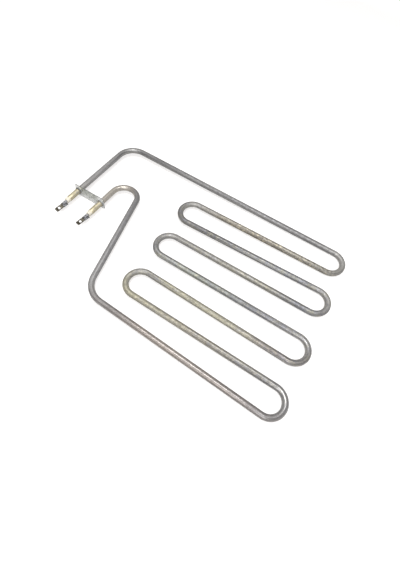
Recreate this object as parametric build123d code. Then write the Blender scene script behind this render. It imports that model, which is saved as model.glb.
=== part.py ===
from build123d import *

import os
from math import cos, radians, sin

# Tubular heating element: one steel tube bent into a flat serpentine, both ends through a small flange.
#
# Frame, in millimetres: the origin is the middle of the flange, on the face that seats against the
# appliance wall. +X runs along the serpentine, +Y from the terminals into the appliance, +Z up.
# The whole tube lies in the plane z = 0.

# ---------------------------------------------------------------- sheath tube
TUBE_OD = 8.5
TUBE_WALL = 0.7
U_BEND_RADIUS = 19.3          # centreline radius of the seven return bends
U_BEND_ANGLES = (178.9, 180.8, 181.5, 179.4, 181.1, 180.4, 181.7)   # hand bent, so never quite 180
FIRST_RUN_LENGTH = 348.2
RETURN_RUN_LENGTH = 211.7     # runs 2, 4 and 6, which come back towards the terminals
FORWARD_RUN_EXTRA = 3.6       # runs 3, 5 and 7 are this much longer than the returns
FIRST_CORNER_ANGLE = 90.0     # from the first leg into run 1
FIRST_CORNER_RADIUS = 27.6
LAST_CORNER_ANGLE = 73.6      # from the last run into the diagonal
LAST_CORNER_RADIUS = 32.6
HOOK_RADIUS = 20.4            # from the diagonal back into the second leg
FIRST_RUN_REACH = 127.2       # flange face to the first run's axis
HOOK_REACH = 49.2             # flange face to the hook's highest point, on its axis
STUB_LENGTHS = (21.5, 23.1)   # flange face to each of the tube's cut ends

# ---------------------------------------------------------------- flange
LEG_SPACING = 41.7            # between the two legs' axes
PLATE_END_MARGIN = 5.6        # leg axis to the plate's end
PLATE_HEIGHT = 19.8
PLATE_THICKNESS = 1.2
PLATE_CORNER_RADIUS = 1.5
TUBE_HOLE_CLEARANCE = 0.1     # radial
COLLAR_WALL = 0.7
COLLAR_LENGTH = 1.6           # drawn collars stand out of the seating face
BRAZE_LEG = 0.6               # fillet of braze in front of each collar

# ---------------------------------------------------------------- inside the tube
FILL_CLEARANCE = 0.05         # radial, so that neighbouring solids stay apart
COLD_LENGTH = 45.0            # tube end to the pin's inner end
PIN_DIAMETER = 3.0
PIN_IN_COIL = 8.0             # the winding's first turns grip the pin
COIL_GRIP_CLEARANCE = 0.1     # radial, winding to pin
COIL_WIRE = 0.5
SEAL_LENGTH = 4.0

# ---------------------------------------------------------------- terminals
BUSH_HEAD_DIAMETER = 7.6
BUSH_HEAD_LENGTH = 5.2
BUSH_SPIGOT_LENGTH = 3.0
BUSH_EDGE_RADIUS = 0.6
BUSH_PIN_CLEARANCE = 0.1      # radial
PIN_PAST_BUSH = 7.5
PIN_FLAT_DEPTH = 0.4          # the pin is flattened where the blade is welded on
PIN_NECK = 1.0                # bush to the blade's root
PIN_FLAT_LEAD = 0.5           # the flat starts this much before the blade's root
TAB_LENGTH = 21.0
TAB_THICKNESS = 0.8
BLADE_WIDTH = 6.3
BLADE_LENGTH = 13.0
ROOT_WIDTH = 7.4              # the blade is wider where it is welded to the pin
TIP_CHAMFER = 1.0
TAB_HOLE_DIAMETER = 4.0
TAB_HOLE_FROM_TIP = 6.2
TAB_TWISTS = (25.0, 10.0)     # each pin turns a little before its blade is welded
TAB_SWINGS = (3.0, 6.0)       # and each blade points a little off the pin's axis
TAB_SIDE_SHIFTS = (1.1, 0.4)  # blade's middle to the pin's axis, across the blade

# ---------------------------------------------------------------- worked out
FORWARD_RUN_LENGTH = RETURN_RUN_LENGTH + FORWARD_RUN_EXTRA
TUBE_RADIUS = TUBE_OD / 2
BORE_RADIUS = TUBE_RADIUS - TUBE_WALL
FILL_RADIUS = BORE_RADIUS - FILL_CLEARANCE
PIN_RADIUS = PIN_DIAMETER / 2
COIL_INNER_RADIUS = PIN_RADIUS + COIL_GRIP_CLEARANCE
COIL_OUTER_RADIUS = COIL_INNER_RADIUS + COIL_WIRE
LEG_X = (-LEG_SPACING / 2, LEG_SPACING / 2)
CUT_ENDS = [Pos(x, -stub, 0) for x, stub in zip(LEG_X, STUB_LENGTHS)]
PLATE_LENGTH = LEG_SPACING + 2 * PLATE_END_MARGIN
HOLE_RADIUS = TUBE_RADIUS + TUBE_HOLE_CLEARANCE
COLLAR_RADIUS = HOLE_RADIUS + COLLAR_WALL
HOT_START = COLD_LENGTH - PIN_IN_COIL             # depths inside each cut end
FILL_START = BUSH_SPIGOT_LENGTH + SEAL_LENGTH
FLAT_LEVEL = PIN_FLAT_DEPTH - PIN_RADIUS          # height of the pin's flat from its axis
FLAT_LENGTH = PIN_PAST_BUSH - PIN_NECK + PIN_FLAT_LEAD
UP, DOWN = 90.0, -90.0        # headings of the two legs, in degrees from +X


# ---------------------------------------------------------------- the tube's route
def along(heading):
    """Unit vector of a heading in the plane z = 0."""
    return Vector(cos(radians(heading)), sin(radians(heading)))


def bend_chord(heading, angle, radius):
    """From the start to the end of a bend. A positive angle turns left."""
    side = 1 if angle > 0 else -1
    to_centre = along(heading + side * 90) * radius
    return to_centre - along(heading + angle + side * 90) * radius


def serpentine_steps():
    """Steps from the first corner to the last U-bend: (length,) is a run, (angle, radius) a bend."""
    steps = [(-FIRST_CORNER_ANGLE, FIRST_CORNER_RADIUS), (FIRST_RUN_LENGTH,)]
    for number, angle in enumerate(U_BEND_ANGLES):
        outward = number % 2 == 0
        steps.append((-angle if outward else angle, U_BEND_RADIUS))
        if number < len(U_BEND_ANGLES) - 1:
            steps.append((RETURN_RUN_LENGTH if outward else FORWARD_RUN_LENGTH,))
    return steps


def walk(point, heading, steps):
    """Where a chain of steps ends, and its heading there."""
    for step in steps:
        if len(step) == 1:
            point = point + along(heading) * step[0]
        else:
            point = point + bend_chord(heading, *step)
            heading += step[0]
    return point, heading


def closing_steps(point, heading):
    """Last run, last corner, diagonal and hook, so that the hook ends above the second leg."""
    corner = (-LAST_CORNER_ANGLE, LAST_CORNER_RADIUS)
    diagonal_heading = heading - LAST_CORNER_ANGLE
    hook_angle = (DOWN - diagonal_heading) % 360
    hook_centre = Vector(LEG_X[1] + HOOK_RADIUS, HOOK_REACH - HOOK_RADIUS)
    hook_start = hook_centre - along(diagonal_heading + 90) * HOOK_RADIUS
    gap = hook_start - point - bend_chord(heading, *corner)
    run, diagonal = along(heading), along(diagonal_heading)
    cross = run.X * diagonal.Y - run.Y * diagonal.X
    last_run_length = (gap.X * diagonal.Y - gap.Y * diagonal.X) / cross
    diagonal_length = (run.X * gap.Y - run.Y * gap.X) / cross
    return [(last_run_length,), corner, (diagonal_length,), (hook_angle, HOOK_RADIUS)]


def tube_steps():
    """The whole tube from its first cut end to its second, starting at LEG_X[0] and heading UP."""
    start = Vector(LEG_X[0], -STUB_LENGTHS[0])
    first_leg = [(STUB_LENGTHS[0] + FIRST_RUN_REACH - FIRST_CORNER_RADIUS,)]
    middle = serpentine_steps()
    end = closing_steps(*walk(start, UP, first_leg + middle))
    second_leg = [(STUB_LENGTHS[1] + HOOK_REACH - HOOK_RADIUS,)]
    return first_leg + middle + end + second_leg


def trimmed(steps, length):
    """The same steps with both end legs shortened by a length."""
    return [(steps[0][0] - length,)] + steps[1:-1] + [(steps[-1][0] - length,)]


def route_solid(section, steps, inset=0.0):
    """A flat section carried along the tube's route, from an inset inside each cut end."""
    point, heading = Vector(LEG_X[0], inset - STUB_LENGTHS[0]), UP
    pieces = []
    for step in trimmed(steps, inset):
        placed = Plane(point, x_dir=(0, 0, 1), z_dir=along(heading)) * section
        if len(step) == 1:
            pieces.append(extrude(placed, step[0]))
        else:
            side = 1 if step[0] > 0 else -1
            centre = point + along(heading + side * 90) * step[1]
            pieces.append(revolve(placed, Axis(centre, (0, 0, side)), abs(step[0])))
        point, heading = walk(point, heading, [step])
    return pieces[0].fuse(*pieces[1:]).clean()


def ring(outer, inner):
    return Circle(outer) - Circle(inner)


# ---------------------------------------------------------------- pieces on the tube's route
def sheath_tube(steps):
    return route_solid(ring(TUBE_RADIUS, BORE_RADIUS), steps)


def heating_coil(steps):
    """The close winding, as the tube that its turns fill."""
    return route_solid(ring(COIL_OUTER_RADIUS, COIL_INNER_RADIUS), steps, HOT_START)


def magnesia_fill(steps):
    """Pressed powder: a sleeve round the winding and the pins, and a core inside the winding."""
    sleeve = route_solid(ring(FILL_RADIUS, COIL_OUTER_RADIUS + FILL_CLEARANCE), steps, HOT_START)
    round_pin = leg_solid(ring(FILL_RADIUS, PIN_RADIUS + FILL_CLEARANCE), FILL_START, HOT_START)
    core = route_solid(Circle(COIL_INNER_RADIUS - FILL_CLEARANCE), steps, COLD_LENGTH)
    return Compound([sleeve.fuse(*(place * round_pin for place in CUT_ENDS)), core])


# ---------------------------------------------------------------- pieces of one end, from its cut end
def leg_solid(section, start, end):
    """A section along the leg, between two depths inside the cut end. Outside it they are negative."""
    placed = Plane((0, start, 0), x_dir=(1, 0, 0), z_dir=(0, 1, 0)) * section
    return extrude(placed, end - start)


def end_seal():
    return leg_solid(ring(FILL_RADIUS, PIN_RADIUS + FILL_CLEARANCE), BUSH_SPIGOT_LENGTH, FILL_START)


def ceramic_bush():
    """A head against the cut end and a spigot inside it, bored for the pin."""
    head = leg_solid(Circle(BUSH_HEAD_DIAMETER / 2), -BUSH_HEAD_LENGTH, 0)
    outer_edge = head.edges().sort_by(Axis.Y)[0]
    head = fillet(outer_edge, BUSH_EDGE_RADIUS)
    spigot = leg_solid(Circle(FILL_RADIUS), 0, BUSH_SPIGOT_LENGTH)
    bore = leg_solid(Circle(PIN_RADIUS + BUSH_PIN_CLEARANCE), -BUSH_HEAD_LENGTH, BUSH_SPIGOT_LENGTH)
    return head + spigot - bore


def weld_place(twist):
    """Where the blade's root starts on the pin, turned about the pin's axis."""
    return Pos(0, -BUSH_HEAD_LENGTH - PIN_NECK, 0) * Rot(0, twist, 0)


def terminal_pin(twist):
    """A round pin whose outer end has a flat on its underside for the blade."""
    pin = leg_solid(Circle(PIN_RADIUS), -BUSH_HEAD_LENGTH - PIN_PAST_BUSH, COLD_LENGTH)
    below_flat = Box(PIN_DIAMETER, FLAT_LENGTH, PIN_FLAT_DEPTH, align=(Align.CENTER, Align.MAX, Align.MAX))
    return pin - weld_place(twist) * Pos(0, PIN_FLAT_LEAD, FLAT_LEVEL) * below_flat


def tab_outline():
    """The flat blade from above: wide root at y = 0, chamfered tip at y = -TAB_LENGTH."""
    shoulder_y = BLADE_LENGTH - TAB_LENGTH
    right = [
        (ROOT_WIDTH / 2, 0),
        (ROOT_WIDTH / 2, shoulder_y),
        (BLADE_WIDTH / 2, shoulder_y),
        (BLADE_WIDTH / 2, TIP_CHAMFER - TAB_LENGTH),
        (BLADE_WIDTH / 2 - TIP_CHAMFER, -TAB_LENGTH),
    ]
    left = [(-x, y) for x, y in reversed(right)]
    return Polygon(*right, *left, align=None)


def tab_terminal(twist, swing, side_shift):
    hole = Pos(0, TAB_HOLE_FROM_TIP - TAB_LENGTH) * Circle(TAB_HOLE_DIAMETER / 2)
    blade = extrude(tab_outline() - hole, TAB_THICKNESS, dir=(0, 0, -1))
    return weld_place(twist) * Pos(0, 0, FLAT_LEVEL) * Rot(0, 0, -swing) * Pos(side_shift, 0, 0) * blade


# ---------------------------------------------------------------- flange
def mounting_flange():
    """A pressed plate with a drawn collar round each leg, on its seating side."""
    outline = RectangleRounded(PLATE_LENGTH, PLATE_HEIGHT, PLATE_CORNER_RADIUS)
    plate = extrude(Plane.XZ * outline, -PLATE_THICKNESS)
    for x in LEG_X:
        plate += Pos(x, 0, 0) * extrude(Plane.XZ * Circle(COLLAR_RADIUS), COLLAR_LENGTH)
        plate -= Pos(x, PLATE_THICKNESS, 0) * extrude(
            Plane.XZ * Circle(HOLE_RADIUS), PLATE_THICKNESS + COLLAR_LENGTH
        )
    return plate


def braze_ring():
    """Braze of a leg at x = 0, in the gap between hole and tube, with a fillet in front of the collar."""
    profile = Polygon(
        (TUBE_RADIUS, PLATE_THICKNESS),
        (HOLE_RADIUS, PLATE_THICKNESS),
        (HOLE_RADIUS, -COLLAR_LENGTH),
        (COLLAR_RADIUS, -COLLAR_LENGTH),
        (TUBE_RADIUS, -COLLAR_LENGTH - BRAZE_LEG),
        align=None,
    )
    return revolve(profile, Axis.Y, 360)


# ---------------------------------------------------------------- every piece by its name
def all_pieces():
    steps = tube_steps()
    pieces = {
        "sheath_tube": sheath_tube(steps),
        "heating_coil": heating_coil(steps),
        "magnesia_fill": magnesia_fill(steps),
        "mounting_flange": mounting_flange(),
    }
    for number, cut_end in enumerate(CUT_ENDS):
        end = {
            "terminal_pin": terminal_pin(TAB_TWISTS[number]),
            "tab_terminal": tab_terminal(
                TAB_TWISTS[number], TAB_SWINGS[number], TAB_SIDE_SHIFTS[number]
            ),
            "end_seal": end_seal(),
            "ceramic_bush": ceramic_bush(),
        }
        for name, piece in end.items():
            pieces[f"{name}_{number + 1}"] = cut_end * piece
        pieces[f"braze_ring_{number + 1}"] = Pos(LEG_X[number], 0, 0) * braze_ring()
    return pieces


os.makedirs("parts", exist_ok=True)
for node, piece in all_pieces().items():
    export_step(piece, f"parts/{node}.step")
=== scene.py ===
from math import copysign, cos, pi, radians, sin

import bmesh
import bpy
from mathutils import Matrix, Vector, noise


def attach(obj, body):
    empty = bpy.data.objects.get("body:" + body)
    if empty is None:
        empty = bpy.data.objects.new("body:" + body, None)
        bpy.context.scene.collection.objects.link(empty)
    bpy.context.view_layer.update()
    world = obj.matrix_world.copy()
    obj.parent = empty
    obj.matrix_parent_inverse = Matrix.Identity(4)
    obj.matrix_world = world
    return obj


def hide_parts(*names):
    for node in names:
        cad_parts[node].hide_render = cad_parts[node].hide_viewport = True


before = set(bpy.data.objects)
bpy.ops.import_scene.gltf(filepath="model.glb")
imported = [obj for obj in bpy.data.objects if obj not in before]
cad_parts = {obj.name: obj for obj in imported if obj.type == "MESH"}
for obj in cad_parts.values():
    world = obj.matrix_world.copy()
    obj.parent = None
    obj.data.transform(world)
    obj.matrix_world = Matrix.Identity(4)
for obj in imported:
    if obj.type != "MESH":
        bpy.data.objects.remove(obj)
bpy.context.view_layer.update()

# Looks of a tubular heating element. All sizes are in metres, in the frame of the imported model:
# origin in the middle of the flange's seating face, +X along the runs, +Y into the appliance, +Z up.
MM = 0.001

# ---------------------------------------------------------------- sizes that the solids share
TUBE_RADIUS = 4.25 * MM
BORE_RADIUS = 3.55 * MM
LEG_SPACING = 41.7 * MM
STUB_LENGTHS = (21.5 * MM, 23.1 * MM)
FIRST_RUN_REACH = 127.2 * MM
HOOK_REACH = 49.2 * MM
HOOK_RADIUS = 20.4 * MM
FIRST_CORNER = (-90.0, 27.6 * MM)
LAST_CORNER = (-73.6, 32.6 * MM)
U_BEND_RADIUS = 19.3 * MM
U_BEND_ANGLES = (178.9, 180.8, 181.5, 179.4, 181.1, 180.4, 181.7)
FIRST_RUN = 348.2 * MM
RETURN_RUN = 211.7 * MM
FORWARD_RUN = 215.3 * MM
PLATE_LENGTH, PLATE_HEIGHT, PLATE_THICKNESS = 52.9 * MM, 19.8 * MM, 1.2 * MM
PLATE_CORNER_RADIUS = 1.5 * MM
HOLE_RADIUS = 4.35 * MM
COLLAR_RADIUS, COLLAR_LENGTH = 5.05 * MM, 1.6 * MM
BRAZE_LEG = 0.6 * MM
BUSH_HEAD_LENGTH = 5.2 * MM
PIN_RADIUS, PIN_NECK = 1.5 * MM, 1.0 * MM
PIN_FLAT_DEPTH = 0.4 * MM
TAB_LENGTH, TAB_THICKNESS = 21.0 * MM, 0.8 * MM
BLADE_WIDTH, BLADE_LENGTH, ROOT_WIDTH = 6.3 * MM, 13.0 * MM, 7.4 * MM
TIP_CHAMFER = 1.0 * MM
TAB_HOLE_RADIUS, TAB_HOLE_FROM_TIP = 2.0 * MM, 6.2 * MM
TAB_TWISTS, TAB_SWINGS = (25.0, 10.0), (3.0, 6.0)
TAB_SIDE_SHIFTS = (1.1 * MM, 0.4 * MM)
LEG_X = (-LEG_SPACING / 2, LEG_SPACING / 2)
START, START_HEADING = Vector((LEG_X[0], -STUB_LENGTHS[0], 0)), 90.0    # the tube's first cut end


# ---------------------------------------------------------------- the tube's route
def along(heading):
    """The direction of a heading in degrees, in the tube's plane."""
    return Vector((cos(radians(heading)), sin(radians(heading)), 0))


def bend_chord(heading, angle, radius):
    """From the start to the end of a bend. A positive angle turns left."""
    side = 1 if angle > 0 else -1
    to_centre = along(heading + side * 90) * radius
    return to_centre - along(heading + angle + side * 90) * radius


def walk(point, heading, steps):
    """Where a turtle ends up that takes these steps: (length,) ahead, or (angle, radius) round a bend."""
    for step in steps:
        if len(step) == 1:
            point = point + along(heading) * step[0]
        else:
            point = point + bend_chord(heading, *step)
            heading += step[0]
    return point, heading


def tube_steps():
    """The whole tube, in steps. Its last run and its diagonal are as long as the hook needs."""
    steps = [(STUB_LENGTHS[0] + FIRST_RUN_REACH - FIRST_CORNER[1],), FIRST_CORNER, (FIRST_RUN,)]
    for number, angle in enumerate(U_BEND_ANGLES):
        outward = number % 2 == 0
        steps.append((-angle if outward else angle, U_BEND_RADIUS))
        if number < len(U_BEND_ANGLES) - 1:
            steps.append((RETURN_RUN if outward else FORWARD_RUN,))
    point, heading = walk(START, START_HEADING, steps)
    diagonal_heading = heading + LAST_CORNER[0]
    hook_centre = Vector((LEG_X[1] + HOOK_RADIUS, HOOK_REACH - HOOK_RADIUS, 0))
    hook_start = hook_centre - along(diagonal_heading + 90) * HOOK_RADIUS
    # the last run and the diagonal close the gap that is left, each along its own direction
    gap = hook_start - point - bend_chord(heading, *LAST_CORNER)
    run, diagonal = along(heading), along(diagonal_heading)
    cross = run.x * diagonal.y - run.y * diagonal.x
    last_run = (gap.x * diagonal.y - gap.y * diagonal.x) / cross
    diagonal_run = (run.x * gap.y - run.y * gap.x) / cross
    hook_angle = (-START_HEADING - diagonal_heading) % 360
    second_leg = STUB_LENGTHS[1] + HOOK_REACH - HOOK_RADIUS
    return steps + [(last_run,), LAST_CORNER, (diagonal_run,), (hook_angle, HOOK_RADIUS), (second_leg,)]


RUN_STEP = 8 * MM             # ring spacing on straight runs
BEND_STEP = 4.0               # degrees between rings on bends


def route_rings():
    """The tube's rings, each as (centre, heading, distance along the tube, bend), and its length.

    The bend is 0 on a run, 1 in the middle of a left turn and -1 in the middle of a right turn.
    """
    point, heading, travelled = START, START_HEADING, 0.0
    rings = [(point, heading, travelled, 0.0)]
    for step in tube_steps():
        length = step[0] if len(step) == 1 else abs(radians(step[0])) * step[1]
        count = int(length / RUN_STEP if len(step) == 1 else abs(step[0]) / BEND_STEP) + 1
        for k in range(1, count + 1):
            share = k / count
            part = (step[0] * share,) + tuple(step[1:])
            centre, turned = walk(point, heading, [part])
            bend = 0.0
            if len(step) == 2 and share < 1:
                bend = copysign(sin(pi * share) ** 0.5, step[0])
            rings.append((centre, turned, travelled + length * share, bend))
        point, heading = walk(point, heading, [step])
        travelled += length
    return rings, travelled


# ---------------------------------------------------------------- mesh helpers
def new_object(name, mesh):
    piece = bpy.data.objects.new(name, mesh)
    bpy.context.scene.collection.objects.link(piece)
    return piece


def mesh_object(name, bm, smooth=True):
    bmesh.ops.recalc_face_normals(bm, faces=bm.faces)
    mesh = bpy.data.meshes.new(name)
    bm.to_mesh(mesh)
    bm.free()
    for face in mesh.polygons:
        face.use_smooth = smooth
    return new_object(name, mesh)


def skin(bm, rings, closed=False):
    """Faces between rings of as many points, and from the last ring to the first if closed."""
    for first, second in zip(rings, rings[1:] + rings[:1] if closed else rings[1:]):
        for k in range(len(first)):
            after = (k + 1) % len(first)
            bm.faces.new((first[k], first[after], second[after], second[k]))


LATHE_SEGMENTS = 72
ARC_SEGMENTS = 6
WELD_DISTANCE = 0.001 * MM    # points nearer than this are one point
SMOOTH_ANGLE = 35.0           # degrees


def lathe(bm, profile, place, closed=True, lump=None):
    """Adds a profile of (radius, y), turned about the Y axis and put in place. Lump adds to a radius."""
    rings = []
    for radius, y in profile:
        turned = []
        for k in range(LATHE_SEGMENTS):
            angle = 2 * pi * k / LATHE_SEGMENTS
            out = radius + (lump(angle, radius, y) if lump else 0)
            turned.append(bm.verts.new(place @ Vector((out * cos(angle), y, out * sin(angle)))))
        rings.append(turned)
    skin(bm, rings, closed)


def arc(centre, radius, start, end, count=ARC_SEGMENTS):
    """Points of an arc, for outlines and profiles. Angles are in degrees."""
    turns = [radians(start + (end - start) * k / count) for k in range(count + 1)]
    return [(centre[0] + radius * cos(t), centre[1] + radius * sin(t)) for t in turns]


BEVEL_RESOLUTION = 2


def sheet(outlines, thickness, edge, place):
    """A flat sheet with rounded edges, of an outline and its holes. Its middle is at z = 0."""
    curve = bpy.data.curves.new("sheet", "CURVE")
    curve.dimensions, curve.fill_mode = "2D", "BOTH"
    curve.extrude, curve.bevel_depth = thickness / 2 - edge, edge
    curve.bevel_resolution, curve.offset = BEVEL_RESOLUTION, -edge
    for outline in outlines:
        spline = curve.splines.new("POLY")
        spline.points.add(len(outline) - 1)
        spline.use_cyclic_u = True
        for point, (x, y) in zip(spline.points, outline):
            point.co = (x, y, 0, 1)
    holder = new_object("sheet", curve)
    mesh = bpy.data.meshes.new_from_object(holder)
    bpy.data.objects.remove(holder)
    bm = bmesh.new()
    bm.from_mesh(mesh)
    bmesh.ops.remove_doubles(bm, verts=bm.verts, dist=WELD_DISTANCE)
    bmesh.ops.transform(bm, matrix=place, verts=bm.verts)
    return bm


def smooth_object(name, bm, smooth_angle=SMOOTH_ANGLE):
    """An object that looks smooth where its faces meet at less than an angle."""
    for edge in bm.edges:
        edge.smooth = edge.calc_face_angle(0) < radians(smooth_angle)
    return mesh_object(name, bm)


TUBE_SEGMENTS = 48
END_BEVEL = 0.25 * MM         # at the outer edge of the cut ends


def sheath_mesh():
    """A hollow tube along the route, and its length.

    "sleeve" is each point's place on the tube as if it were straight, and "bend" is above 0 on the
    inside of a bend and below 0 on its outside.
    """
    rings, total = route_rings()
    bm = bmesh.new()
    sleeve = bm.verts.layers.float_vector.new("sleeve")
    bend_layer = bm.verts.layers.float.new("bend")

    def ring(centre, heading, distance, bend, radius):
        """The points of one ring, upright and square to its heading."""
        side = along(heading + 90)
        verts = []
        for k in range(TUBE_SEGMENTS):
            angle = 2 * pi * k / TUBE_SEGMENTS
            across, up = radius * cos(angle), radius * sin(angle)
            vert = bm.verts.new(centre + side * across + Vector((0, 0, up)))
            vert[sleeve] = (distance, across, up)
            vert[bend_layer] = bend * cos(angle)
            verts.append(vert)
        return verts

    def shifted(end, inset):
        """The ring at an end, 0 or -1, moved inwards along the tube."""
        centre, heading, distance, bend = rings[end]
        sign = 1 if end == 0 else -1
        return centre + along(heading) * inset * sign, heading, distance + inset * sign, bend

    outer = [ring(*shifted(0, 0), TUBE_RADIUS - END_BEVEL), ring(*shifted(0, END_BEVEL), TUBE_RADIUS)]
    outer += [ring(*r, TUBE_RADIUS) for r in rings[1:-1]]
    outer += [ring(*shifted(-1, END_BEVEL), TUBE_RADIUS), ring(*shifted(-1, 0), TUBE_RADIUS - END_BEVEL)]
    inner = [ring(*r, BORE_RADIUS) for r in reversed(rings)]
    skin(bm, outer + inner, closed=True)
    return mesh_object("sheath", bm), total


# ---------------------------------------------------------------- flange and terminals
EDGE_ROUND = 0.12 * MM        # sheared and rubbed edges of plate and blades
DRAW_RADIUS = 0.3 * MM        # where the plate turns into its collars
FLAT_BORDER = 0.18 * MM       # where the plate's flat faces begin, from its rim
BRAZE_OVERLAP = 0.02 * MM     # how deep the braze reaches into what it holds
LUMP_HEIGHT = 0.22 * MM
LUMPS_AROUND, LUMPS_ALONG, LUMPS_APART = 1.6, 400, 7    # steps in the noise: round, along, and per ring
BRAZE_SMOOTH_ANGLE = 70.0     # degrees
HOLE_SEGMENTS = 40


def rounded_rectangle(length, height, radius):
    x, y = length / 2 - radius, height / 2 - radius
    corners = ((x, y, 0), (-x, y, 90), (-x, -y, 180), (x, -y, 270))
    return [point for cx, cy, start in corners for point in arc((cx, cy), radius, start, start + 90)]


def circle(centre, radius, count):
    return arc(centre, radius, 0, 360 * (count - 1) / count, count - 1)


def flange_mesh():
    """The plate and the collars drawn out of it round each leg, as one closed surface."""
    back = PLATE_THICKNESS
    bm = bmesh.new()
    # the rim as (inset, y), from the flat of the front face to that of the back
    rim = [(FLAT_BORDER, 0)] + arc((EDGE_ROUND, EDGE_ROUND), EDGE_ROUND, 270, 180)
    rim += [(inset, back - y) for inset, y in reversed(rim)]
    loops = []
    for inset, y in rim:
        length, height = PLATE_LENGTH - 2 * inset, PLATE_HEIGHT - 2 * inset
        outline = rounded_rectangle(length, height, PLATE_CORNER_RADIUS - inset)
        loops.append([bm.verts.new((x, y, z)) for x, z in outline])
    skin(bm, loops)
    # each collar as (radius, y), from the front face over its lip and through the hole to the back face
    outer, inner = COLLAR_RADIUS + DRAW_RADIUS, HOLE_RADIUS
    collar = arc((outer, -DRAW_RADIUS), DRAW_RADIUS, 90, 180)
    collar += [(COLLAR_RADIUS, EDGE_ROUND - COLLAR_LENGTH)]
    collar += [(COLLAR_RADIUS - EDGE_ROUND, -COLLAR_LENGTH), (inner, -COLLAR_LENGTH)]
    collar += arc((inner + DRAW_RADIUS, back - DRAW_RADIUS), DRAW_RADIUS, 180, 90)
    collar += [(outer, back)]
    for x in LEG_X:
        lathe(bm, collar, Matrix.Translation((x, 0, 0)), closed=False)
    # the flat faces, each between the rim and the two collars
    for face_y in (0, back):
        open_edges = [edge for edge in bm.edges if edge.is_boundary]
        border = [edge for edge in open_edges if abs(edge.verts[0].co.y - face_y) < EDGE_ROUND / 2]
        bmesh.ops.triangle_fill(bm, use_beauty=True, edges=border)
    return smooth_object("flange", bm)


def braze_mesh(number):
    """Braze that ran round the tube: a lumpy fillet on the collar and a low one behind the plate."""
    def lump(angle, radius, y):
        if radius < TUBE_RADIUS:
            return 0
        across = cos(angle) * LUMPS_AROUND + number * LUMPS_APART
        return noise.noise(Vector((across, sin(angle) * LUMPS_AROUND, y * LUMPS_ALONG))) * LUMP_HEIGHT

    # (radius, y), from the tube over the collar's lip, through the hole and on to the tube again
    lip, back = -COLLAR_LENGTH, PLATE_THICKNESS
    profile = [
        (TUBE_RADIUS - BRAZE_OVERLAP, lip - BRAZE_LEG),
        (TUBE_RADIUS + 0.25 * MM, lip - BRAZE_LEG / 2),
        (COLLAR_RADIUS - 0.25 * MM, lip - 0.06 * MM),
        (COLLAR_RADIUS - 0.1 * MM, lip + BRAZE_OVERLAP),
        (HOLE_RADIUS + DRAW_RADIUS, back),
        (HOLE_RADIUS + 0.2 * MM, back + BRAZE_LEG / 2),
        (TUBE_RADIUS - BRAZE_OVERLAP, back + BRAZE_LEG),
    ]
    bm = bmesh.new()
    lathe(bm, profile, Matrix.Translation((LEG_X[number], 0, 0)), lump=lump)
    return smooth_object(f"braze_{number + 1}", bm, BRAZE_SMOOTH_ANGLE)


def cut_end(number):
    """To the middle of the tube's cut end, where the bush begins."""
    return Matrix.Translation((LEG_X[number], -STUB_LENGTHS[number], 0))


def blade_place(number):
    """From the blade's own axes, root at y = 0 and upper face at z = 0, to the whole part's."""
    root = Matrix.Translation((0, -BUSH_HEAD_LENGTH - PIN_NECK, 0))
    twist = Matrix.Rotation(radians(TAB_TWISTS[number]), 4, "Y")
    on_flat = Matrix.Translation((0, 0, PIN_FLAT_DEPTH - PIN_RADIUS))
    swing = Matrix.Rotation(-radians(TAB_SWINGS[number]), 4, "Z")
    shift = Matrix.Translation((TAB_SIDE_SHIFTS[number], 0, 0))
    return cut_end(number) @ root @ twist @ on_flat @ swing @ shift


def blade_outline():
    """The blade from above, its root at y = 0 and its tip at -TAB_LENGTH."""
    shoulder = BLADE_LENGTH - TAB_LENGTH
    right = [(ROOT_WIDTH / 2, 0), (ROOT_WIDTH / 2, shoulder), (BLADE_WIDTH / 2, shoulder)]
    right += [(BLADE_WIDTH / 2, TIP_CHAMFER - TAB_LENGTH), (BLADE_WIDTH / 2 - TIP_CHAMFER, -TAB_LENGTH)]
    return right + [(-x, y) for x, y in reversed(right)]


def blade_mesh(number):
    """The flat blade with its hole. "flat" is each point's place on the blade."""
    hole = circle((0, TAB_HOLE_FROM_TIP - TAB_LENGTH), TAB_HOLE_RADIUS, HOLE_SEGMENTS)
    down = Matrix.Translation((0, 0, -TAB_THICKNESS / 2))
    bm = sheet([blade_outline(), hole], TAB_THICKNESS, EDGE_ROUND, down)
    blade = smooth_object(f"blade_{number + 1}", bm)
    flat = blade.data.attributes.new("flat", "FLOAT_VECTOR", "POINT")
    for vertex, item in zip(blade.data.vertices, flat.data):
        item.vector = vertex.co
    blade.data.transform(blade_place(number))
    return blade


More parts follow.
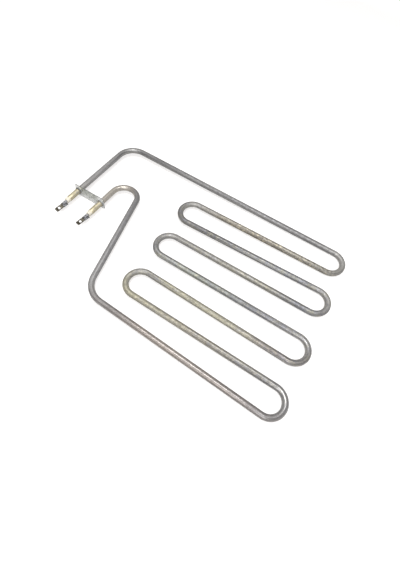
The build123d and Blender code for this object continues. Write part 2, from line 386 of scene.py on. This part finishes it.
# ---------------------------------------------------------------- materials
class Shader:
    """A short way to write the nodes of a material or of the world."""

    def __init__(self, owner, output="ShaderNodeOutputMaterial"):
        owner.use_nodes = True
        self.owner = owner
        self.tree = owner.node_tree
        self.tree.nodes.clear()
        self.output = self.node(output)

    def node(self, kind, inputs=None, **settings):
        """A new node. An input is a value, or the socket of another node, which is linked to it."""
        made = self.tree.nodes.new(kind)
        for key, value in settings.items():
            setattr(made, key, value)
        for key, value in (inputs or {}).items():
            if isinstance(value, bpy.types.NodeSocket):
                self.tree.links.new(value, made.inputs[key])
            else:
                made.inputs[key].default_value = value
        return made

    def attribute(self, name):
        return self.node("ShaderNodeAttribute", attribute_name=name)

    def axis(self, vector, number):
        return self.node("ShaderNodeSeparateXYZ", {0: vector}).outputs[number]

    def place(self):
        return self.node("ShaderNodeTexCoord").outputs["Object"]

    def stretched(self, vector, scale):
        return self.node("ShaderNodeMapping", {"Vector": vector, "Scale": scale}).outputs[0]

    def noise(self, vector, scale, detail=3.0, rough=0.55):
        inputs = {"Vector": vector, "Scale": scale, "Detail": detail, "Roughness": rough}
        return self.node("ShaderNodeTexNoise", inputs).outputs["Fac"]

    def math(self, operation, first, second=0.0, clamp=False):
        made = self.node("ShaderNodeMath", {0: first, 1: second}, operation=operation, use_clamp=clamp)
        return made.outputs[0]

    def spread(self, value, low, high, to_low=0.0, to_high=1.0):
        """A value between low and high, spread to between to_low and to_high."""
        inputs = {"Value": value, "From Min": low, "From Max": high, "To Min": to_low, "To Max": to_high}
        return self.node("ShaderNodeMapRange", inputs, clamp=True).outputs[0]

    def window(self, value, span):
        """1 from full to fade, and 0 before start and after end. The span is in millimetres."""
        start, full, fade, end = (mm * MM for mm in span)
        rise, fall = self.spread(value, start, full), self.spread(value, fade, end, 1.0, 0.0)
        return self.math("MULTIPLY", rise, fall)

    def mix(self, factor, first, second, blend="MIX"):
        """A mix of two colours, whose sockets are the node's 6 and 7. Its colour comes out at 2."""
        made = self.node("ShaderNodeMix", data_type="RGBA", blend_type=blend)
        for socket, value in ((0, factor), (6, first), (7, second)):
            if isinstance(value, bpy.types.NodeSocket):
                self.tree.links.new(value, made.inputs[socket])
            elif socket:
                made.inputs[socket].default_value = (*value, 1)
            else:
                made.inputs[socket].default_value = value
        return made.outputs[2]

    def over(self, tint, colour, amount, pattern, none, full, within=None):
        """A colour over a tint: not where the pattern is at none, and by amount where it is at full."""
        share = self.spread(pattern, none, full, 0.0, amount)
        if within is not None:
            share = self.math("MULTIPLY", share, within)
        return self.mix(share, tint, colour)

    def ramp(self, factor, stops):
        """Stops are (place, colour), with colours as three linear values."""
        made = self.node("ShaderNodeValToRGB", {"Fac": factor})
        points = made.color_ramp.elements
        for place, _ in stops[2:]:
            points.new(place)
        for point, (place, colour) in zip(points, stops):
            point.position = place
            point.color = (*colour, 1)
        return made.outputs["Color"]

    def bump(self, height, strength, distance, below=None):
        inputs = {"Height": height, "Strength": strength, "Distance": distance}
        if below is not None:
            inputs["Normal"] = below
        return self.node("ShaderNodeBump", inputs).outputs["Normal"]

    def finish(self, shader):
        self.tree.links.new(shader.outputs[0], self.output.inputs["Surface"])
        return self.owner

    def surface(self, **sockets):
        """A principled surface. The socket Base Color is written base_color, and so on."""
        names = {key.replace("_", " ").title(): value for key, value in sockets.items()}
        return self.finish(self.node("ShaderNodeBsdfPrincipled", names))


def material_shader(name):
    return Shader(bpy.data.materials.new(name))


def srgb(red, green, blue):
    """A colour written as 0 to 255 values, as a screen shows it."""
    def linear(value):
        value /= 255
        return value / 12.92 if value <= 0.04045 else ((value + 0.055) / 1.055) ** 2.4
    return linear(red), linear(green), linear(blue)


GREY = srgb(154, 153, 154)
DARK_GREY = srgb(148, 147, 148)
IRON_GREY = srgb(136, 135, 136)
DEEP_GREY = srgb(114, 114, 117)
LIGHT_GREY = srgb(168, 167, 168)
PALE_GREY = srgb(182, 180, 177)
BLUE_GREY = srgb(141, 142, 150)
PINK_GREY = srgb(148, 142, 141)
TAN = srgb(156, 150, 139)
OLIVE_GREY = srgb(159, 157, 150)
PALE_OLIVE = srgb(188, 184, 163)
PINK_BROWN = srgb(166, 156, 149)
GREEN_GREY = srgb(154, 159, 153)
SLATE = srgb(134, 137, 146)
WARM_PALE = srgb(176, 168, 160)
SAND = srgb(210, 203, 192)
STRAW = srgb(226, 215, 180)
# pale streak colour, and the painted highlight inside the bends
PALE_STREAK_AND_HIGHLIGHT = srgb(206, 205, 198)
# dark streak colour, and the painted shade along the outer edge of the bends
DARK_STREAK_AND_SHADE = srgb(104, 104, 106)

# Heat tints along the tube, by distance from its first cut end in millimetres.
HEAT_TINTS = (
    (0, STRAW), (19, STRAW), (24, PALE_GREY), (60, LIGHT_GREY), (150, IRON_GREY), (500, DARK_GREY),
    (540, PALE_GREY), (580, OLIVE_GREY), (650, TAN), (740, TAN), (790, PALE_GREY), (835, GREY),
    (880, DEEP_GREY), (1030, SLATE), (1085, PALE_GREY), (1140, SLATE), (1180, OLIVE_GREY),
    (1250, OLIVE_GREY), (1360, LIGHT_GREY), (1450, GREEN_GREY), (1560, BLUE_GREY), (1625, LIGHT_GREY),
    (1690, PINK_GREY), (1770, PALE_OLIVE), (1850, PALE_OLIVE), (1875, LIGHT_GREY), (1930, PALE_OLIVE),
    (2050, TAN), (2140, DARK_GREY), (2185, LIGHT_GREY), (2225, PINK_GREY), (2300, PINK_BROWN),
    (2390, PINK_BROWN), (2440, PINK_GREY), (2500, LIGHT_GREY), (2640, LIGHT_GREY), (2670, WARM_PALE),
    (2705, SAND), (2733, SAND), (2738, STRAW),
)
RAMP_LIMIT = 32               # the stops that one ramp can hold
TINT_WANDER = 14 * MM         # how far a tint wanders along the tube
# Spans of the tube in millimetres, as (start, full, fade, end).
HOTTEST_SPAN = (550, 575, 715, 760)
HEATED_SPAN = (760, 820, 2140, 2200)
CLEAN_SPANS = (
    (2210, 2260, 2440, 2480),    # the last run
    (110, 118, 152, 160),        # the first corner
    (1600, 1608, 1672, 1680),    # the fifth return bend
    (2150, 2158, 2222, 2230),    # the seventh return bend
    (2640, 2648, 2725, 2733),    # the hook and the second leg
)
FLAKED_SHARE = 0.4            # how far the heated runs flaked, against the hottest
CLEAN_SHINE = 0.20            # how much less rough the clean spans are


def tints_along(s, distance, length):
    """The colour of the tints at a distance along the tube. They take two ramps."""
    first, last = HEAT_TINTS[:RAMP_LIMIT], HEAT_TINTS[RAMP_LIMIT:]
    split = first[-1][0] * MM
    before = s.ramp(s.math("DIVIDE", distance, split), [(mm * MM / split, tint) for mm, tint in first])
    rest = [((mm * MM - split) / (length - split), tint) for mm, tint in last]
    after = s.ramp(s.spread(distance, split, length), rest)
    return s.mix(s.math("GREATER_THAN", distance, split), before, after)


def sheath_material(length):
    """Steel sheath with heat tints, flaked scale, mottle, rolled marks and drawn lines."""
    s = material_shader("heat_tinted_sheath")
    sleeve = s.attribute("sleeve").outputs["Vector"]
    distance = s.axis(sleeve, 0)
    wander = s.noise(s.stretched(sleeve, (1, 3, 3)), 60.0)
    shift = s.spread(wander, 0.3, 0.7, -TINT_WANDER, TINT_WANDER)
    tint = tints_along(s, s.math("ADD", distance, shift), length)
    # scale that flaked off left straw and brown patches, most of all on the hottest run
    heated = s.window(distance, HEATED_SPAN)
    flaked = s.math("MULTIPLY", heated, FLAKED_SHARE)
    flaked = s.math("MAXIMUM", s.window(distance, HOTTEST_SPAN), flaked)
    flakes = s.noise(sleeve, 340.0, rough=0.7)
    tint = s.over(tint, srgb(216, 203, 168), 0.80, flakes, 0.55, 0.62, within=flaked)
    tint = s.over(tint, srgb(112, 102, 88), 0.85, flakes, 0.48, 0.40, within=flaked)
    # a slow drift between olive and slate blue where the tube was hot
    drift = s.noise(s.stretched(sleeve, (0.7, 1.4, 1.4)), 150.0, rough=0.6)
    tint = s.over(tint, srgb(168, 165, 140), 0.40, drift, 0.52, 0.66, within=heated)
    tint = s.over(tint, srgb(134, 137, 150), 0.40, drift, 0.48, 0.34, within=heated)
    # soft mottle a few millimetres across, and short marks across the tube where it was rolled
    mottle = s.noise(s.stretched(sleeve, (1, 1.6, 1.6)), 210.0, rough=0.6)
    tint = s.mix(s.spread(mottle, 0.35, 0.68, 0.0, 0.36), tint, srgb(150, 146, 140), "MULTIPLY")
    pale = s.noise(s.stretched(sleeve, (1.3, 2.4, 2.4)), 330.0, detail=2.0, rough=0.5)
    tint = s.over(tint, srgb(214, 208, 196), 0.30, pale, 0.58, 0.76)
    rolled = s.noise(s.stretched(sleeve, (1, 0.22, 0.22)), 780.0, detail=2.0)
    tint = s.over(tint, srgb(108, 103, 98), 0.28, rolled, 0.50, 0.74)
    # pale and dark streaks along the tube, and finer lines where it was drawn
    streaks = s.noise(s.stretched(sleeve, (0.012, 1, 1)), 560.0, detail=1.0)
    tint = s.over(tint, PALE_STREAK_AND_HIGHLIGHT, 0.34, streaks, 0.54, 0.68)
    tint = s.over(tint, DARK_STREAK_AND_SHADE, 0.45, streaks, 0.50, 0.36)
    lines = s.noise(s.stretched(sleeve, (0.02, 1, 1)), 2600.0, detail=2.0)
    tint = s.over(tint, srgb(112, 108, 104), 0.25, lines, 0.45, 0.75)
    # painted highlight on the inside of the bends, and painted shade along their outer edge
    bent = s.attribute("bend").outputs["Fac"]
    tint = s.over(tint, PALE_STREAK_AND_HIGHLIGHT, 0.15, bent, 0.2, 0.9)
    tint = s.over(tint, DARK_STREAK_AND_SHADE, 0.45, bent, -0.75, -1.0)
    # the last run, some of the bends and the hook are cleaner and shinier
    clean = s.window(distance, CLEAN_SPANS[0])
    for span in CLEAN_SPANS[1:]:
        clean = s.math("MAXIMUM", clean, s.window(distance, span))
    rough = s.spread(mottle, 0.3, 0.75, 0.46, 0.62)
    rough = s.math("SUBTRACT", rough, s.math("MULTIPLY", clean, CLEAN_SHINE))
    uneven = s.math("MULTIPLY", mottle, s.math("SUBTRACT", 1.0, clean))
    normal = s.bump(lines, 0.25, 0.05 * MM)
    normal = s.bump(uneven, 0.30, 0.25 * MM, normal)
    normal = s.bump(s.noise(sleeve, 4200.0), 0.30, 0.05 * MM, normal)
    return s.surface(base_color=tint, metallic=0.7, roughness=rough, normal=normal)


STAIN_REACH = (18 * MM, 14 * MM)     # the heat stain sets in between these distances from the middle
STAIN_HEIGHT = (-4 * MM, 2 * MM)     # and is at its full strength above
STAIN_WANDER = 3 * MM                # how far that height wanders
LEG_STAIN = (6.2 * MM, 5.2 * MM)     # the ring of stain round the first leg sets in here


def plate_material():
    """Bright rolled plate, darker on its rim, with a stain of heat between its legs."""
    s = material_shader("bright_plate")
    place = s.place()
    stain = s.spread(s.math("ABSOLUTE", s.axis(place, 0)), *STAIN_REACH)
    blotch = s.noise(place, 420.0, rough=0.6)
    stain = s.math("MULTIPLY", stain, s.spread(blotch, 0.30, 0.62, 0.25, 1.0))
    wander = s.spread(blotch, 0.3, 0.7, -STAIN_WANDER, STAIN_WANDER)
    height = s.math("ADD", s.axis(place, 2), wander)
    stain = s.math("MULTIPLY", stain, s.spread(height, *STAIN_HEIGHT, 0.30, 1.0))
    tint = s.mix(stain, srgb(246, 247, 247), srgb(190, 193, 184))
    patches = s.noise(s.stretched(place, (1, 1, 0.6)), 420.0, rough=0.65)
    stained = s.math("ADD", stain, 0.15, clamp=True)
    tint = s.over(tint, srgb(104, 108, 98), 0.8, patches, 0.48, 0.58, within=stained)
    leg = {0: s.stretched(place, (1, 0, 1)), 1: (LEG_X[0], 0, 0)}
    from_leg = s.node("ShaderNodeVectorMath", leg, operation="DISTANCE").outputs["Value"]
    tint = s.over(tint, srgb(124, 118, 98), 0.45, from_leg, *LEG_STAIN)
    # darker on the rim, where its faces turn away from the front and back
    facing = s.axis(s.node("ShaderNodeNewGeometry").outputs["True Normal"], 1)
    tint = s.over(tint, srgb(104, 108, 108), 0.9, s.math("ABSOLUTE", facing), 0.75, 0.35)
    grain = s.noise(s.stretched(place, (1, 1, 0.05)), 2400.0, detail=2.0)
    rough = s.math("ADD", s.spread(grain, 0.3, 0.7, 0.16, 0.24), s.math("MULTIPLY", stain, 0.12))
    normal = s.bump(grain, 0.15, 0.03 * MM)
    return s.surface(base_color=tint, metallic=0.35, roughness=rough, normal=normal)


# The blade's colours, from its weld at 0 to its tip at 1.
BLADE_TINTS = (
    (0.0, srgb(58, 54, 50)), (0.10, srgb(140, 142, 146)), (0.30, srgb(150, 151, 154)),
    (0.38, srgb(60, 56, 50)), (0.50, srgb(104, 100, 88)), (0.72, srgb(84, 79, 66)),
    (1.0, srgb(68, 63, 49)),
)
BLADE_WANDER = 1.5 * MM       # how far its colours wander


def blade_material():
    """Plated blade: dark at its root, then bluish and pale, dark at its shoulder, and brown-olive towards
    its tip.
    """
    s = material_shader("heat_darkened_blade")
    flat = s.attribute("flat").outputs["Vector"]
    wander = s.spread(s.noise(flat, 300.0), 0.3, 0.7, -BLADE_WANDER, BLADE_WANDER)
    along_blade = s.math("DIVIDE", s.math("ADD", s.axis(flat, 1), wander), -TAB_LENGTH)
    spots = s.noise(flat, 700.0, rough=0.6)
    tint = s.over(s.ramp(along_blade, BLADE_TINTS), srgb(52, 50, 47), 0.85, spots, 0.46, 0.60)
    rough = s.spread(spots, 0.3, 0.7, 0.38, 0.52)
    scratches = s.noise(s.stretched(flat, (1, 0.05, 1)), 2600.0, detail=2.0)
    normal = s.bump(scratches, 0.3, 0.04 * MM)
    return s.surface(base_color=tint, metallic=0.8, roughness=rough, normal=normal)


def steel_material(name, colour, dark, roughness, metallic=0.9):
    """Plain metal with darker blotches and fine lines along the Y axis."""
    s = material_shader(name)
    blotch = s.noise(s.place(), 270.0, detail=4.0, rough=0.6)
    grain = s.noise(s.stretched(s.place(), (1, 0.06, 1)), 2700.0, detail=2.0)
    tint = s.over(colour, dark, 1.0, blotch, 0.35, 0.7)
    rough = s.spread(grain, 0.3, 0.7, roughness - 0.06, roughness + 0.08)
    normal = s.bump(grain, 0.2, 0.04 * MM)
    return s.surface(base_color=tint, metallic=metallic, roughness=rough, normal=normal)


def dull_material(name, colour, dark, roughness):
    """Ceramic, powder or resin with faint blotches and a fine roughness."""
    s = material_shader(name)
    tint = s.over(colour, dark, 0.6, s.noise(s.place(), 375.0), 0.4, 0.75)
    normal = s.bump(s.noise(s.place(), 3000.0, detail=2.0), 0.3, 0.05 * MM)
    return s.surface(base_color=tint, roughness=roughness, normal=normal)


# ---------------------------------------------------------------- the object
def dress(piece, node, material):
    piece.data.materials.append(material)
    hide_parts(node)
    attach(piece, "root")


sheath, tube_length = sheath_mesh()
dress(sheath, "sheath_tube", sheath_material(tube_length))
braze = steel_material("oxidised_braze", srgb(140, 131, 110), srgb(84, 77, 66), 0.45, metallic=0.6)
steatite = dull_material("steatite_bush", srgb(244, 238, 222), srgb(222, 210, 184), 0.42)
blade_finish = blade_material()
dress(flange_mesh(), "mounting_flange", plate_material())
for number in range(len(LEG_X)):
    dress(braze_mesh(number), f"braze_ring_{number + 1}", braze)
    dress(blade_mesh(number), f"tab_terminal_{number + 1}", blade_finish)

# The finish of each CAD node, by the start of its name. The nodes that pieces replace have one too.
FINISHES = {
    "terminal_pin": steel_material("drawn_pin", srgb(196, 197, 203), srgb(120, 116, 116), 0.34),
    "heating_coil": steel_material("resistance_winding", srgb(150, 146, 140), srgb(110, 106, 100), 0.4),
    "ceramic_bush": steatite,
    "magnesia_fill": dull_material("pressed_magnesia", srgb(232, 230, 222), srgb(205, 200, 190), 0.9),
    "end_seal": dull_material("resin_seal", srgb(222, 216, 204), srgb(190, 180, 160), 0.6),
    "mounting_flange": braze,
    "braze_ring": braze,
    "tab_terminal": blade_finish,
    "sheath_tube": sheath.data.materials[0],
}
for name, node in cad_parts.items():
    finish = next(material for start, material in FINISHES.items() if name.startswith(start))
    node.data.materials.clear()
    node.data.materials.append(finish)

# ---------------------------------------------------------------- floor, light and camera
FLOOR_SLOPE = 0.9             # degrees: the part rests on its plate's edge and its far bends
FLOOR_SIZE = 8.0
FLOOR_GLOW, GLOW_STRENGTH = 0.4, 1.60    # share of the floor's look that no shadow falls on
FLOOR_FADE = (0.6, 1.6)       # metres from its middle, where the floor turns into the room's white
FLOOR_IN_MIRRORS = 0.5        # how much of its white the metal sees
PAPER_WHITE, GLOW_WHITE = (0.93, 0.91, 0.90), (1, 0.985, 0.98, 1)
BOUNCE_GREYS = (srgb(150, 150, 150), srgb(156, 156, 156))    # the floor that lights the part
WORLD_LIGHT = 0.37            # the room's own light; the camera sees the room white
WORLD_IN_MIRRORS = 0.3        # how much of that white the metal sees
LAMPS = (                     # name, azimuth, elevation, distance and size in metres, watts
    ("overhead", -60, 86, 1.3, 0.7, 11),
    ("front", 12, 42, 1.2, 1.0, 6),
)
# The camera as it was fitted to the photo.
CAMERA_TARGET = Vector((218.3, -35.15, 0)) * MM
CAMERA_AZIMUTH, CAMERA_ELEVATION, CAMERA_ROLL = 21.40, 59.45, 11.78    # degrees
CAMERA_DISTANCE = 491.7 * MM
PHOTO_FOCAL, PHOTO_HEIGHT = 363.14, 570    # pixels
SENSOR = 36.0                 # millimetres
CLIP_START = 0.01             # metres


def floor_height():
    """The sloped floor touches the lowest points of the tube and the plate."""
    slope = sin(radians(FLOOR_SLOPE))
    nodes = [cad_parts[n] for n in ("sheath_tube", "mounting_flange")]
    return min(v.co.z - slope * v.co.x for n in nodes for v in n.data.vertices)


def rays_seen(s, in_mirrors):
    """What the camera sees, by itself and through glass; and that with a share for metal's mirroring."""
    rays = s.node("ShaderNodeLightPath").outputs
    direct = s.math("MAXIMUM", rays["Is Camera Ray"], rays["Is Transmission Ray"])
    return direct, s.math("MAXIMUM", direct, s.math("MULTIPLY", rays["Is Glossy Ray"], in_mirrors))


def floor_material():
    """White paper: it lights the part as pale grey card, and its shadows are light ones."""
    s = material_shader("pale_floor")
    direct, white = rays_seen(s, FLOOR_IN_MIRRORS)
    bounce = s.mix(s.noise(s.place(), 6.0, detail=2.0), *BOUNCE_GREYS)
    paper = s.node("ShaderNodeBsdfDiffuse", {"Color": s.mix(white, bounce, PAPER_WHITE)})
    glow = s.node("ShaderNodeEmission", {"Color": GLOW_WHITE, "Strength": GLOW_STRENGTH})
    from_middle = s.node("ShaderNodeVectorMath", {0: s.place()}, operation="LENGTH").outputs["Value"]
    far = s.math("MULTIPLY", direct, s.spread(from_middle, *FLOOR_FADE))
    share = s.math("MAXIMUM", s.math("MULTIPLY", white, FLOOR_GLOW), far)
    return s.finish(s.node("ShaderNodeMixShader", {0: share, 1: paper.outputs[0], 2: glow.outputs[0]}))


def add_floor():
    bm = bmesh.new()
    bmesh.ops.create_grid(bm, x_segments=1, y_segments=1, size=FLOOR_SIZE / 2)
    floor = mesh_object("floor", bm, smooth=False)
    slope = Matrix.Rotation(-radians(FLOOR_SLOPE), 4, "Y")
    floor.matrix_world = Matrix.Translation((0, 0, floor_height())) @ slope
    floor.data.materials.append(floor_material())


def add_world():
    s = Shader(bpy.data.worlds.new("studio"), "ShaderNodeOutputWorld")
    _, white = rays_seen(s, WORLD_IN_MIRRORS)
    strength = s.spread(white, 0.0, 1.0, WORLD_LIGHT, 1.0)
    light = s.node("ShaderNodeBackground", {"Color": (1, 1, 1, 1), "Strength": strength})
    bpy.context.scene.world = s.finish(light)


def towards(azimuth, elevation):
    """The direction from the part to an azimuth and an elevation in degrees."""
    az, el = radians(azimuth), radians(elevation)
    return Vector((sin(az) * cos(el), -cos(az) * cos(el), sin(el)))


def add_lamp(name, azimuth, elevation, distance, size, power):
    """A round soft box that faces the middle of the part."""
    light = bpy.data.lights.new(name, "AREA")
    light.shape = "DISK"
    light.size = size
    light.energy = power
    lamp = new_object(name, light)
    away = towards(azimuth, elevation)
    lamp.location = CAMERA_TARGET + away * distance
    lamp.rotation_euler = (-away).to_track_quat("-Z", "Y").to_euler()


def add_camera():
    back = towards(CAMERA_AZIMUTH, CAMERA_ELEVATION)
    right = (-back).cross(Vector((0, 0, 1))).normalized()
    up = right.cross(-back)
    roll = radians(CAMERA_ROLL)
    turned_right = right * cos(roll) + up * sin(roll)
    turned_up = up * cos(roll) - right * sin(roll)
    data = bpy.data.cameras.new("camera")
    data.lens = PHOTO_FOCAL * SENSOR / PHOTO_HEIGHT
    data.sensor_width = SENSOR
    data.clip_start = CLIP_START
    camera = new_object("camera", data)
    axes = Matrix((turned_right, turned_up, back)).transposed().to_4x4()
    camera.matrix_world = Matrix.Translation(CAMERA_TARGET + back * CAMERA_DISTANCE) @ axes
    bpy.context.scene.camera = camera


add_floor()
add_world()
for lamp_values in LAMPS:
    add_lamp(*lamp_values)
add_camera()
bpy.context.scene.view_settings.view_transform = "Standard"
